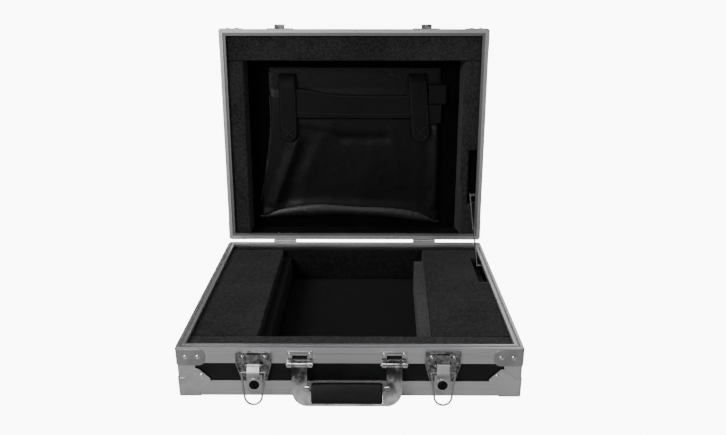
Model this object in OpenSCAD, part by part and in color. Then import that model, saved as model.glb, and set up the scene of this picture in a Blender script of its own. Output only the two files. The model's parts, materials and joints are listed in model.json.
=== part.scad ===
// Aluminum attache case, standing open: base and lid shells, foam inserts, latches, handle, hinges and stay.
// Millimetres, +Z up. The case stands on its corner caps at Z = 0 and its front faces -Y.

/* [Case] */
// Width of the case, left to right
case_w = 450; // [430:5:500]
// Depth of the case, front to back
case_d = 365; // [355:5:400]
// Height of the base shell
base_h = 73.5; // [72:0.5:90]
// Height of the lid shell
lid_h = 60; // [56:1:80]
// Angle that the lid stands open at, from closed
lid_open = 94.5; // [90:0.5:100]

/* [Shell] */
// Wall of the aluminium extrusions
skin = 1.5; // [1.4:0.1:1.6]
// Thickness of the laminate boards
board_t = 5; // [4:0.5:5]
// Outer radius of the extrusions' edges
edge_r = 4; // [4:0.5:5]
// Height of the rim extrusion on the outside
rim_h = 23; // [22:0.5:24]
// Width of the angle extrusions
angle_w = 24; // [20:0.5:25]
// Thickness of the corner caps and braces
cap_t = 1; // [0.8:0.1:1.2]

/* [Latches and handle] */
// Distance of each latch from the middle of the case
latch_x = 122.4; // [110:0.2:135]
// Distance of each handle bracket from the middle of the case
handle_x = 61; // [58:0.5:66]
// Length of the handle's grip
grip_l = 91; // [84:1:92]

/* [Hinges and stay] */
// Distance of each hinge from the middle of the case
hinge_x = 125; // [100:1:140]
// Width of a hinge
hinge_w = 40; // [36:1:50]
// Distance from the hinge axis to the stay's pivot on the base
stay_back = 85; // [83:1:87]
// Length of each stay link between its pivots
stay_link = 68; // [67.5:0.5:69]

/* [Inside] */
// Width of the base's left foam block, from the wall
foam_left_w = 92; // [80:1:100]
// Width of the base's right foam block, from the wall
foam_right_w = 97; // [90:1:105]
// Depth of the base's front foam block
foam_front_d = 33; // [30:1:40]
// How far the foam lies below the rim
foam_drop = 6; // [5:1:8]

/* [Hidden] */
$fn = 48;
e = 0.3;                        // gap that keeps soft and sliding pieces apart
fit = 0.05;                     // gap between sheet parts and what they sit on
run = 0.06;                     // radial running clearance
half_w = case_w / 2;
rim_z = cap_t + base_h;         // rim of the base, above the ground
close_gap = 0.4;                // gap between the closed rims
hinge_out = 3.2;                // hinge axis behind the back face
hinge_y = case_d + hinge_out;
hinge_z = rim_z + close_gap / 2;
shift_y = -(case_d + lid_h) / 2 - 1.2;  // centres the open case's box on the origin

// Rim section, measured inwards from the face and down from the rim
wall_in = skin + board_t;       // inner face of the boards
leg_t = 1.5;                    // wall of the rim's inner leg
lip_in = 11;                    // inner edge of the rim
lip_t = 4.5;                    // thickness of the rim's lip
board_top = 6;                  // top edge of the boards below the rim
inner_leg = 14;                 // reach of the inner leg below the rim
foam_in = wall_in + leg_t + e;  // foam starts here
mitre = 0.05;                   // half the gap at each mitre

brace_leg = 38;                 // braces: leg length, height and drop from the rim
brace_h = 23.5;
brace_r = 9;                    // radius of the braces' ends
brace_drop = 2.5;
brace_rivets = [12.5, 28.5];
brace_rivet_drop = 14;
lobe_w = 27;                    // cap lobes: width, end radius, root and rivet from the end
lobe_r = 5;
lobe_root = 28;
lobe_rivet = 4.8;
rivet_r = 3.4;                  // rivet head, dome and shank
rivet_dome = 1.4;
shank_r = 1.6;
shank_l = 3;
sink = shank_r + run;           // bore for a rivet's shank

// Latch, measured from its own middle, the front face and the ground
latch_top = 70;
latch_knee = 52;                // the plate narrows below here
latch_low = 26.5;
latch_w = 46;
latch_foot_w = 32;
latch_shift = -1.6;             // the latches and the handle sit a little left of the middle
handle_shift = -3;
latch_rivet = [14.5, 61.6];     // X and Z of the plate's rivets
plate_t = 1.2;
flange_t = 1.6;
flange_h = 4.2;
lever_pin = [-5, 51];           // Y and Z of the lever's pin
bail_pin = [-9.5, 43.5];        // Y and Z of the bail's ends
lever_pin_r = 1.5;
wire_r = 1.3;
bail_w = 22.6;                  // between the wire's middles at the closed end
splay = 8;                      // angle of each arm outwards
bail_tip = [-20.5, 3];         // Y and Z of the wire at its closed end
lever_w = 20.5;
root_w = 16;
lever_low = 11;
lock_r = 6.6;
lock_z = 24;

// Handle, with its pivot's Y and Z and its lean from upright
handle_pin = [-7.2, 53.5];
handle_pin_r = 1.6;
handle_lean = 21.5;
leg_w = 19.6;
handle_drop = 52;               // pivot to the handle's lower edge
handle_r = 20;                  // outer corner
handle_t = 4;
strip_h = 3;
grip_h = 26;
grip_t = 17;
ball_z = 30;                  // knuckles at the grip's upper ends, below the pivot
handle_half = handle_x + leg_w / 2;

pin_r = 1.3;                    // hinge pin
knuckle_r = 3;
leaf_t = 1.6;
knuckles = 5;
knuckle_l = hinge_w / knuckles;
leaf_h = 22;                    // leaf: reach below the rim and gap left for the knuckles
leaf_drop = 4.2;
hinge_rivet_drop = 12.8;
hinge_rivet_x = 13;             // from the hinge's middle
hinge_rivet_l = 9.7;            // through the rim, the board and the rim's inner leg
lid_rivet_l = 10.8;             // the lid's show their ends inside the rim

// Turns [y, z] by an angle about the hinge axis.
function turn(p, a) = [p[0] * cos(a) - p[1] * sin(a), p[0] * sin(a) + p[1] * cos(a)];

// The stay's pivot on the open lid, found along the lid where the two links lie in one line.
function lid_foot(p, reach) =
    let (start = turn([0, stay_lid_up], -lid_open),
         along = turn([-1, 0], -lid_open),
         d = start - p,
         b = d * along)
    start + (-b + sqrt(b * b - d * d + reach * reach)) * along;

// Stay, worked out in the plane of its links: Y and Z from the hinge axis
stud_r = 2;
link_t = 1.5;
link_half = 4.6;
link_x = [half_w - 20.7, half_w - 18.5];   // inner faces of the upper and the lower link
stay_base = [-stay_back, -10];
stay_lid_up = 7.3;               // lid pivot above the hinge axis when closed
stay_lid = lid_foot(stay_base, 2 * stay_link);
knee = (stay_base + stay_lid) / 2;
bracket_x = half_w - wall_in - leg_t;

/* ---- placing ---- */

module box(low, high) {
    translate(low) cube(high - low);
}

// Case frame to the part's own frame.
module placed() {
    translate([0, shift_y, 0]) children();
}

// Shell frame of the base: rim at Z = 0, shell below it.
module in_base() {
    placed() translate([0, 0, rim_z]) children();
}

// The closed lid, opened about the hinge axis.
module opened() {
    placed()
    translate([0, hinge_y, hinge_z])
    rotate([-lid_open, 0, 0])
    translate([0, -hinge_y, -hinge_z])
    children();
}

// Shell frame of the lid, which is the base's upside down.
module in_lid() {
    opened() translate([0, 0, rim_z + close_gap]) mirror([0, 0, 1]) children();
}

// Both long sides: front as drawn, back turned half round the middle.
module front_and_back() {
    children();
    translate([0, case_d, 0]) rotate([0, 0, 180]) children();
}

// A piece drawn at the front left corner, at the corner's origin, copied to all four.
module four_corners() {
    for (sx = [0, 1], sy = [0, 1])
        translate([(sx * 2 - 1) * half_w, sy * case_d, 0]) mirror([sx, 0, 0]) mirror([0, sy, 0]) children();
}

/* ---- shapes ---- */

// What a rounded corner takes away, for a corner at the origin of the first quadrant.
module corner_cut(r) {
    difference() {
        square(2 * r, center = true);
        translate([r, r]) circle(r);
    }
}

module round_rect(w, d, r) {
    difference() {
        square([w, d], center = true);
        for (a = [0, 1], b = [0, 1])
            mirror([a, 0]) mirror([0, b]) translate([-w / 2, -d / 2]) corner_cut(r);
    }
}

// A bar from x = 0 with a rounded free end.
module round_end(l, w, r) {
    difference() {
        translate([0, -w / 2]) square([l, w]);
        for (b = [0, 1]) mirror([0, b]) translate([l, -w / 2]) mirror([1, 0]) corner_cut(r);
    }
}

// The case's outline in plan, grown by a margin.
module plan(grow, r) {
    translate([0, case_d / 2]) round_rect(case_w + 2 * grow, case_d + 2 * grow, r);
}

// A solid shell block of height h, grown by a margin, rounded on every outer edge.
module shell_block(h, grow, r) {
    intersection() {
        translate([0, 0, -h - grow]) linear_extrude(h + grow) plan(grow, r);
        translate([0, case_d / 2, 0]) rotate([90, 0, 90])
            linear_extrude(case_w + 4 * grow + 2, center = true)
            round_rect(case_d + 2 * grow, 2 * (h + grow), r);
        translate([0, case_d / 2, 0]) rotate([90, 0, 0])
            linear_extrude(case_d + 4 * grow + 2, center = true)
            round_rect(case_w + 2 * grow, 2 * (h + grow), r);
    }
}

// The sheet that caps and braces are cut from.
module shell_sheet(h) {
    difference() {
        shell_block(h, cap_t, edge_r + cap_t);
        shell_block(h, fit, edge_r + fit);
    }
}

// Extrudes a section, drawn as [inwards, up], along the front edge and mitres its ends.
module mitred_bar(length, depth) {
    intersection() {
        rotate([90, 0, 90]) linear_extrude(length, center = true) children();
        linear_extrude(400, center = true)
            polygon([[-length / 2 + mitre, 0], [length / 2 - mitre, 0],
                [length / 2 - depth - mitre, depth], [-length / 2 + depth + mitre, depth]]);
    }
}

// Four mitred bars round the case, with rounded upright corners.
module bar_frame(depth, h) {
    intersection() {
        union() {
            front_and_back() mitred_bar(case_w, depth) children();
            for (s = [-1, 1])
                translate([s * half_w, case_d / 2, 0]) rotate([0, 0, s * 90]) mitred_bar(case_d, depth)
                    children();
        }
        translate([0, 0, -h - 10]) linear_extrude(h + 20) plan(0, edge_r);
    }
}

module rim_section(grooved) {
    difference() {
        union() {
            translate([0, -rim_h]) square([skin, rim_h]);
            translate([0, -board_top]) square([wall_in + leg_t, board_top]);
            translate([0, -lip_t]) square([lip_in, lip_t]);
            translate([wall_in, -inner_leg]) square([leg_t, inner_leg]);
            if (!grooved) translate([4.5, -1]) square([2, 2.8]);
        }
        if (grooved) translate([4, -3]) square([3, 4]);
    }
}

module angle_section() {
    difference() {
        difference() {
            square(angle_w);
            corner_cut(edge_r);
        }
        translate([skin, skin]) square(angle_w);
    }
}

// A rivet whose head sits on the z = 0 plane, shank down.
module rivet(r = rivet_r, l = shank_l) {
    ball = (r * r + rivet_dome * rivet_dome) / (2 * rivet_dome);
    difference() {
        intersection() {
            translate([0, 0, rivet_dome - ball]) sphere(ball);
            cylinder(h = 2 * rivet_dome, r = r);
        }
        translate([0, 0, rivet_dome / 2]) cylinder(h = rivet_dome, r = 0.45 * r);
    }
    translate([0, 0, -l]) cylinder(h = l + rivet_dome / 3, r = shank_r);
}

/* ---- what both shells have ---- */

module rim_bars(h, grooved) {
    color("silver") bar_frame(lip_in + 1, h) rim_section(grooved);
}

module edge_bars(h) {
    color("silver") difference() {
        bar_frame(angle_w + 1, h) translate([0, -h]) angle_section();
        cap_rivet_bores(h);
    }
}

module corner_posts(h) {
    low = -h + angle_w + fit;
    high = -rim_h - fit;
    color("silver") difference() {
        four_corners() translate([0, 0, low]) linear_extrude(high - low) angle_section();
        cap_rivet_bores(h);
    }
}

// Where the braces' rivets go, for the front left corner: children face outwards along +Z.
module brace_rivet_places() {
    for (d = brace_rivets) {
        translate([d, -cap_t, -brace_rivet_drop]) rotate([90, 0, 0]) children();
        translate([-cap_t, d, -brace_rivet_drop]) rotate([0, -90, 0]) children();
    }
}

module corner_braces(h) {
    low = -brace_drop - brace_h;
    block = edge_r + 3 * cap_t;
    color("gainsboro") difference() {
        intersection() {
            shell_sheet(h);
            four_corners() {
                translate([0, skin, low + brace_h / 2]) rotate([90, 0, 0])
                    linear_extrude(3 * skin) translate([-2 * cap_t, 0])
                    round_end(brace_leg + 2 * cap_t, brace_h, brace_r);
                translate([skin, 0, low + brace_h / 2]) rotate([90, 0, -90]) mirror([1, 0, 0])
                    linear_extrude(3 * skin) translate([-2 * cap_t, 0])
                    round_end(brace_leg + 2 * cap_t, brace_h, brace_r);
                translate([-2 * cap_t, -2 * cap_t, low]) cube([block, block, brace_h]);
            }
        }
        four_corners() brace_rivet_places() cylinder(h = 4 * cap_t, r = sink, center = true);
    }
}

// Length of a cap's lobe, so that its end stays just clear of the brace above it.
function lobe_l(h) =
    min(50, (h - brace_drop - brace_h - 0.7 - lobe_r) * sqrt(2) + 2 * lobe_r - lobe_w / 2);

// Two rivets for the front left cap, one on each upright face.
module cap_rivet_places(h) {
    along = (lobe_l(h) - lobe_rivet) * cos(45);
    translate([along, -cap_t, along - h]) rotate([90, 0, 0]) children();
    translate([-cap_t, along, along - h]) rotate([0, -90, 0]) children();
}

module cap_rivet_bores(h) {
    four_corners() cap_rivet_places(h) cylinder(h = 2 * (shank_l + cap_t), r = sink, center = true);
}

module cap_lobe(h) {
    rotate(45) round_end(lobe_l(h), lobe_w, lobe_r);
    translate([-2 * cap_t, -2 * cap_t]) square(lobe_root + 2 * cap_t);
}

module corner_caps(h) {
    color("gainsboro") difference() {
        intersection() {
            shell_sheet(h);
            four_corners() translate([0, 0, -h]) {
                translate([0, edge_r + 1, 0]) rotate([90, 0, 0]) linear_extrude(edge_r + 5) cap_lobe(h);
                translate([edge_r + 1, 0, 0]) rotate([90, 0, -90]) mirror([1, 0, 0])
                    linear_extrude(edge_r + 5) cap_lobe(h);
                translate([0, 0, -4]) linear_extrude(edge_r + 5) cap_lobe(h);
            }
        }
        cap_rivet_bores(h);
    }
}

module shell_rivets(h, hinge_l) {
    color("lightgray") four_corners() {
        brace_rivet_places() rivet();
        cap_rivet_places(h) rivet();
    }
    color("lightgray") hinge_rivet_places() rivet(3, hinge_l);
}

module flat_board(h) {
    low = [-half_w + skin + fit, skin + fit, -h + skin + fit];
    color("dimgray") box(low, [-low[0], case_d - low[1], low[2] + board_t - fit]);
}

module side_boards(h, where) {
    low = -h + wall_in;
    high = -board_top - fit;
    y0 = skin + fit;
    y1 = wall_in - fit;
    x1 = half_w - skin - fit;
    x0 = half_w - wall_in + fit;
    holes = shank_l + cap_t;
    color("dimgray") difference() {
        if (where == "front") box([-x1, y0, low], [x1, y1, high]);
        else if (where == "back") box([-x1, case_d - y1, low], [x1, case_d - y0, high]);
        else {
            s = where == "left" ? 0 : 1;
            mirror([s, 0, 0]) box([-x1, y1 + fit, low], [-x0, case_d - y1 - fit, high]);
        }
        four_corners() brace_rivet_places() cylinder(h = 2 * holes, r = sink, center = true);
        cap_rivet_bores(h);
        hinge_rivet_places() cylinder(h = 30, r = sink, center = true);
    }
}

module fitted_rim_bars(h, grooved) {
    difference() {
        rim_bars(h, grooved);
        four_corners() brace_rivet_places() cylinder(h = 8, r = sink, center = true);
        hinge_rivet_places() cylinder(h = 30, r = sink, center = true);
        if (grooved) translate([0, 0, -rim_z]) {
            front_rivet_places() cylinder(h = 8, r = sink, center = true);
            for (s = [-1, 1]) translate([s * handle_x + handle_shift, 0, 0]) bracket_window();
        }
    }
}

/* ---- base inserts, in the base's shell frame ---- */

floor_in = -base_h + wall_in + e;       // top of the bottom board
floor_top = floor_in + 3;
foam_top = -foam_drop;
back_foam_t = 12;
stay_slot = [20, 155 - hinge_out, 63 - hinge_out];   // depth, and how far it runs from the back face
slot_w = 25;                    // slots beside the stay, from the outside of the case
liner_l = 258;                  // the right liner stops short of the back
lean = 9.5;                     // the right block and its liner lean inwards towards the front

module base_floor_foam() {
    in_base() color("#2b2b2d")
        box([-half_w + foam_in, foam_in, floor_in], [half_w - foam_in, case_d - foam_in, floor_top]);
}

module base_left_foam() {
    in_base() color("#3a3a3c")
        box([-half_w + foam_in, foam_in + foam_front_d + e, floor_top + e],
            [-half_w + foam_in + foam_left_w, case_d - foam_in - back_foam_t - e, foam_top]);
}

module base_right_foam() {
    x1 = half_w - foam_in;
    x0 = x1 - foam_right_w;
    y0 = foam_in + foam_front_d + e;
    y1 = case_d - foam_in - back_foam_t - e;
    in_base() color("#3a3a3c") difference() {
        translate([0, 0, floor_top + e]) linear_extrude(foam_top - floor_top - e)
            polygon([[x0 - lean, y0], [x1, y0], [x1, y1], [x0, y1], [x0, y0 + liner_l]]);
        box([half_w - slot_w, case_d - stay_slot[1], foam_top - stay_slot[0]],
            [half_w, case_d - stay_slot[2], foam_top + 1]);
    }
}

module base_front_foam() {
    in_base() color("#3a3a3c")
        box([-half_w + foam_in, foam_in, floor_top + e],
            [half_w - foam_in, foam_in + foam_front_d, foam_top]);
}

module base_back_foam() {
    in_base() color("#3a3a3c")
        box([-half_w + foam_in, case_d - foam_in - back_foam_t, floor_top + e],
            [half_w - foam_in, case_d - foam_in, foam_top]);
}

module base_left_liner() {
    x0 = -half_w + foam_in + foam_left_w + e;
    in_base() color("#343436")
        box([x0, foam_in + foam_front_d + e, floor_top + e],
            [x0 + 13, case_d - foam_in - back_foam_t - e, foam_top - 14]);
}

module base_right_liner() {
    x1 = half_w - foam_in - foam_right_w - e;
    y0 = foam_in + foam_front_d + e;
    y1 = y0 + liner_l;
    in_base() color("#48484a") translate([0, 0, floor_top + e]) linear_extrude(foam_top - 2 - floor_top - e)
        polygon([[x1 - lean - 15.5, y0], [x1 - lean, y0], [x1, y1 - e], [x1 - 17, y1 - e]]);
}

/* ---- front fittings, in the case frame ---- */

module latch_outline(inset) {
    t = latch_w / 2 - inset;
    f = latch_foot_w / 2 - inset;
    low = latch_low + inset * 0.4;
    polygon([[-t, latch_top - inset], [-t, latch_knee], [-f, low], [f, low], [t, latch_knee],
        [t, latch_top - inset]]);
}

module on_front(x) {
    placed() translate([x, 0, 0]) children();
}

module latch_plate() {
    color("silver") difference() {
        union() {
            translate([0, -fit, 0]) rotate([90, 0, 0]) linear_extrude(plate_t) latch_outline(0);
            translate([0, -fit, 0]) rotate([90, 0, 0]) linear_extrude(flange_h) difference() {
                latch_outline(0);
                latch_outline(flange_t);
                translate([-30, 0]) square([60, latch_low + 1.5]);
            }
            box([-8.6, -5, lever_pin[1] + 3.7], [8.6, -plate_t, 67]);
            for (s = [-1, 1])
                translate([s * 9.7 - 1, 0, 0]) rotate([90, 0, 90]) linear_extrude(2) difference() {
                    union() {
                        translate([lever_pin[0], lever_pin[1] - 3.2]) square([-lever_pin[0] - plate_t, 6.4]);
                        translate(lever_pin) circle(3.2);
                    }
                    translate(lever_pin) circle(lever_pin_r - 0.01);
                }
        }
        for (s = [-1, 1]) translate([s * latch_rivet[0], -plate_t, latch_rivet[1]]) rotate([90, 0, 0])
            cylinder(h = 8, r = sink, center = true);
    }
}

module latch_plates() {
    for (s = [-1, 1]) on_front(s * latch_x + latch_shift) latch_plate();
}

module latch_pins() {
    color("lightgray") for (s = [-1, 1])
        on_front(s * latch_x + latch_shift) translate([-11.2, lever_pin[0], lever_pin[1]]) rotate([0, 90, 0])
            cylinder(h = 22.4, r = lever_pin_r - 0.03);
}

// Where the front fittings are riveted, on the case's front face: children face outwards along +Z.
module front_rivet_places() {
    for (s = [-1, 1], t = [-1, 1]) {
        latch = s * latch_x + latch_shift;
        bracket = s * handle_x + handle_shift;
        translate([latch + t * latch_rivet[0], -plate_t - fit, latch_rivet[1]]) rotate([90, 0, 0])
            children();
        translate([bracket + t * bracket_rivet[0], -bracket_t - fit, bracket_rivet[1]]) rotate([90, 0, 0])
            children();
    }
}

module front_rivets() {
    color("lightgray") placed() front_rivet_places() rivet(2.8, plate_t + skin - fit);
}

// Side outline of the lever, as Y and Z, from its pin eye down to the tongue.
module lever_root_side() {
    difference() {
        union() {
            translate(lever_pin) circle(3);
            translate(bail_pin) circle(3);
            polygon([[lever_pin[0] - 1.5, lever_pin[1] + 2.6], [lever_pin[0] + 2.2, lever_pin[1] - 2],
                [-3.2, 37], [-3.2, 32], [-6.4, 32], [-10.6, 38], [bail_pin[0] - 2.98, bail_pin[1]]]);
        }
        translate(lever_pin) circle(lever_pin_r - 0.03 + run);
        translate(bail_pin) circle(wire_r + run);
    }
}

module latch_lever() {
    color("gainsboro") difference() {
        union() {
            translate([-root_w / 2, 0, 0]) rotate([90, 0, 90]) linear_extrude(root_w) lever_root_side();
            translate([0, -2.6, 0]) rotate([90, 0, 0]) linear_extrude(2) difference() {
                translate([-lever_w / 2, lever_low]) square([lever_w, 37 - lever_low]);
                for (a = [0, 1]) mirror([a, 0]) translate([-lever_w / 2, lever_low]) corner_cut(4);
            }
            translate([0, -2.6, lock_z]) rotate([90, 0, 0]) cylinder(h = 5.4, r = 8.4);
        }
        translate([0, 0, lock_z]) rotate([90, 0, 0]) cylinder(h = 20, r = lock_r + run, center = true);
    }
}

module latch_lock() {
    color("#222224") difference() {
        translate([0, -2.8, lock_z]) rotate([90, 0, 0]) cylinder(h = 5.8, r = lock_r);
        box([-0.9, -9, lock_z - 3.6], [0.9, -7, lock_z + 3.6]);
    }
}

// The wire bail: two arms, inturned ends in the lever's bore and a round closed end.
module latch_bail() {
    d = bail_tip - bail_pin;
    reach = norm(d);
    lean = atan2(-d[0], -d[1]);
    bend = bail_w / 2;
    arm = reach - bend;
    wide = bend + arm * tan(splay);
    color("gainsboro") translate([0, bail_pin[0], bail_pin[1]]) rotate([-lean, 0, 0]) {
        for (s = [-1, 1]) {
            translate([s * bend, 0, -arm]) rotate([0, s * splay, 0])
                cylinder(h = arm / cos(splay), r = wire_r);
            translate([s * wide, 0, 0]) sphere(wire_r);
            translate([s * wide, 0, 0]) rotate([0, -s * 90, 0])
                cylinder(h = wide - root_w / 2 + 3, r = wire_r);
        }
        translate([0, 0, -arm]) rotate([-90, 0, 0]) rotate_extrude(angle = 180) translate([bend, 0])
            circle(wire_r);
    }
}

bracket_t = 1.6;
bracket_w = 33;
bracket_rivet = [13, 66.2];     // X and Z of the plate's rivets
bracket_window = [9.9, 57.4, 64.2];   // half width, and the Z of its lower and upper edge
ear_w = 6.2;
ear_r = 3.6;

// The opening above the handle's pivot, in the bracket and in the extrusion behind it.
module bracket_window() {
    box([-bracket_window[0], -4, bracket_window[1]], [bracket_window[0], skin, bracket_window[2]]);
}

// A riveted plate with a pressed window and two ears that hold the handle's pin.
module handle_bracket() {
    color("gainsboro") difference() {
        union() {
            box([-bracket_w / 2, -bracket_t - fit, 49], [bracket_w / 2, -fit, 70]);
            for (s = [-1, 1])
                translate([s * (leg_w + ear_w + 1) / 2 - ear_w / 2, 0, 0]) rotate([90, 0, 90])
                    linear_extrude(ear_w) union() {
                        translate([handle_pin[0], handle_pin[1] - ear_r])
                            square([-handle_pin[0] - 1, 2 * ear_r]);
                        translate(handle_pin) circle(ear_r);
                    }
        }
        translate([-bracket_w, handle_pin[0], handle_pin[1]]) rotate([0, 90, 0])
            cylinder(h = 2 * bracket_w, r = handle_pin_r - 0.01);
        bracket_window();
        for (t = [-1, 1]) translate([t * bracket_rivet[0], -bracket_t, bracket_rivet[1]]) rotate([90, 0, 0])
            cylinder(h = 8, r = sink, center = true);
    }
}

module handle_brackets() {
    for (s = [-1, 1]) on_front(s * handle_x + handle_shift) handle_bracket();
}

module handle_pins() {
    color("lightgray") for (s = [-1, 1])
        on_front(s * handle_x + handle_shift)
            translate([-bracket_w / 2 - 0.8, handle_pin[0], handle_pin[1]]) rotate([0, 90, 0])
            cylinder(h = bracket_w + 1.6, r = handle_pin_r - 0.03);
}

// The handle's own plane: X across, Z up from the pivot, hanging straight down.
module in_handle() {
    placed() translate([handle_shift, handle_pin[0], handle_pin[1]]) rotate([-handle_lean, 0, 0]) children();
}

// Outline of the frame: two legs, wider lower corners that take the grip, and a strip below it.
module handle_outline() {
    leg_in = handle_half - leg_w;
    corner_in = grip_l / 2 + e;
    top = 5;
    difference() {
        translate([-handle_half, -handle_drop]) square([2 * handle_half, handle_drop - 2]);
        for (a = [0, 1]) mirror([a, 0]) translate([-handle_half, -handle_drop]) corner_cut(handle_r);
        polygon([[-corner_in, -handle_drop + strip_h], [corner_in, -handle_drop + strip_h],
            [corner_in, -ball_z - 4], [leg_in, -ball_z + 2], [leg_in, top],
            [-leg_in, top], [-leg_in, -ball_z + 2], [-corner_in, -ball_z - 4]]);
    }
}

module handle_frame() {
    in_handle() color("gainsboro") difference() {
        union() {
            translate([0, handle_t / 2, 0]) rotate([90, 0, 0]) linear_extrude(handle_t) handle_outline();
            for (s = [-1, 1]) {
                translate([s * handle_x - leg_w / 2, 0, 0]) rotate([0, 90, 0]) cylinder(h = leg_w, r = 3.2);
                translate([s * (handle_half - leg_w), 0, -ball_z]) rotate([0, 90, 0])
                    cylinder(h = 5.4, r = 3.6, center = true);
            }
        }
        for (s = [-1, 1]) translate([s * handle_x, 0, 0]) rotate([0, 90, 0])
            cylinder(h = leg_w + 2, r = handle_pin_r - 0.03 + run, center = true);
    }
}

module handle_grip() {
    low = -handle_drop + strip_h + 0.2;
    in_handle() color("#1c1c1e") translate([-grip_l / 2, 0, low + grip_h / 2])
        rotate([90, 0, 90]) linear_extrude(grip_l) round_rect(grip_t, grip_h, 7);
}

/* ---- hinges, in a shell's frame ---- */

// Where the two rivets of each hinge leaf go: children face outwards along +Z.
module hinge_rivet_places() {
    for (s = [-1, 1], t = [-1, 1])
        translate([s * hinge_x + t * hinge_rivet_x, case_d + fit + leaf_t, -hinge_rivet_drop])
            rotate([-90, 0, 0]) children();
}

// One leaf: a plate on the back face and every second knuckle.
module hinge_leaf(first) {
    difference() {
        union() {
            translate([-hinge_w / 2, case_d + fit, -leaf_h]) cube([hinge_w, leaf_t, leaf_h - leaf_drop]);
            for (i = [first:2:knuckles - 1]) translate([-hinge_w / 2 + i * knuckle_l + e / 2, 0, 0]) {
                translate([0, hinge_y, close_gap / 2]) rotate([0, 90, 0])
                    cylinder(h = knuckle_l - e, r = knuckle_r);
                translate([0, case_d + fit, -8]) cube([knuckle_l - e, leaf_t + 0.4, 8]);
            }
        }
        translate([-hinge_w / 2 - 1, hinge_y, close_gap / 2]) rotate([0, 90, 0])
            cylinder(h = hinge_w + 2, r = pin_r + (first == 0 ? -0.01 : run));
    }
}

module hinge_leaves(first) {
    color("silver") difference() {
        for (s = [-1, 1]) translate([s * hinge_x, 0, 0]) hinge_leaf(first);
        hinge_rivet_places() cylinder(h = 8, r = sink, center = true);
    }
}

module hinge_base_leaves() {
    in_base() hinge_leaves(0);
}

module hinge_lid_leaves() {
    in_lid() hinge_leaves(1);
}

module hinge_pins() {
    color("lightgray") for (s = [-1, 1])
        placed() translate([s * hinge_x - hinge_w / 2, hinge_y, hinge_z]) rotate([0, 90, 0])
            cylinder(h = hinge_w, r = pin_r - 0.03);
}

/* ---- folding stay ---- */

// The plane of the stay: Y and Z from the hinge axis, in the part's frame at rest.
module in_stay(p) {
    placed() translate([0, hinge_y + p[0], hinge_z + p[1]]) children();
}

// A plate on the wall, from low to high, with a stud that carries a link.
module stay_bracket(plane, low, high) {
    wall = bracket_x - leg_t - fit;
    color("silver") {
        translate([wall, -13, low]) cube([leg_t, 26, high - low]);
        translate([plane - e, 0, 0]) rotate([0, 90, 0]) cylinder(h = wall - plane + e + 0.5, r = stud_r);
        translate([plane + link_t + e, 0, 0]) rotate([0, 90, 0])
            cylinder(h = wall - plane - link_t - e + 0.5, r = 2.5);
    }
}

module stay_link_bar(from, to, plane) {
    d = to - from;
    color("silver") translate([plane, 0, 0]) difference() {
        rotate([atan2(d[1], d[0]), 0, 0]) rotate([90, 0, 90]) linear_extrude(link_t) union() {
            translate([0, -link_half + 0.6]) square([norm(d), 2 * link_half - 1.2]);
            circle(link_half);
            translate([norm(d), 0]) circle(link_half);
        }
        rotate([0, 90, 0]) cylinder(h = 4 * link_t, r = stud_r + run, center = true);
    }
}

/* ---- lid inserts, in the lid's shell frame: Z = 0 at the rim ---- */

lid_floor = -lid_h + wall_in + e;      // inner face of the lid's top board
lining_t = 1.5;
lid_foam_low = lid_floor + lining_t + e;
pouch_t = 9;
pouch_low = lid_foam_low;
band_low = pouch_low + pouch_t + e;
band_t = 2.4;
lid_front_d = 43.4;
lid_left_w = 29;
lid_right_w = 31;
lid_side_y = [foam_in, case_d - foam_in - lid_front_d - e];

// Y in the lid's shell frame of a line this far from the hinge edge
function from_hinge(d) = case_d - d;

module soft_block(x, d, z, tint) {
    color(tint) box([x[0], from_hinge(d[1]), z[0]], [x[1], from_hinge(d[0]), z[1]]);
}

module lid_left_foam() {
    x0 = -half_w + foam_in;
    in_lid() soft_block([x0, x0 + lid_left_w], lid_side_y, [lid_foam_low, foam_top], "#3a3a3c");
}

module lid_right_foam() {
    x1 = half_w - foam_in;
    in_lid() color("#3a3a3c") difference() {
        soft_block([x1 - lid_right_w, x1], lid_side_y, [lid_foam_low, foam_top], "#3a3a3c");
        box([half_w - slot_w, from_hinge(161), foam_top - 28], [half_w, from_hinge(64), foam_top + 1]);
    }
}

module lid_front_foam() {
    y1 = case_d - foam_in;
    in_lid() soft_block([-half_w + foam_in, half_w - foam_in], [y1 - lid_front_d, y1],
        [lid_foam_low, foam_top], "#3a3a3c");
}

module lid_lining() {
    in_lid() soft_block([-half_w + foam_in, half_w - foam_in], [foam_in, case_d - foam_in],
        [lid_floor, lid_floor + lining_t], "#202022");
}

module pouch_body() {
    in_lid() soft_block([-177.5, 158.5], [17.5, 302], [pouch_low, pouch_low + pouch_t], "#1c1c1f");
}

// The band runs behind the straps and ends in a stepped tab on the right.
module pouch_band() {
    z = [band_low, band_low + band_t];
    in_lid() color("#242427") {
        soft_block([-118, 131], [211.5, 257], z, "#242427");
        soft_block([130, 163], [236, 271.5], z, "#242427");
        soft_block([130, 154], [203, 238], z, "#242427");
    }
}

// A strap whose middle moves from x_top at its upper end to x_low at its rounded end.
module pouch_strap(x_top, x_low, w) {
    low = from_hinge(171);
    high = from_hinge(290);
    in_lid() color("#26262a") translate([0, 0, band_low + band_t + e]) linear_extrude(3) union() {
        polygon([[x_top - w / 2, high], [x_top + w / 2, high], [x_low + w / 2, low - w / 2],
            [x_low - w / 2, low - w / 2]]);
        translate([x_low, low - w / 2]) circle(w / 2);
    }
}

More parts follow.
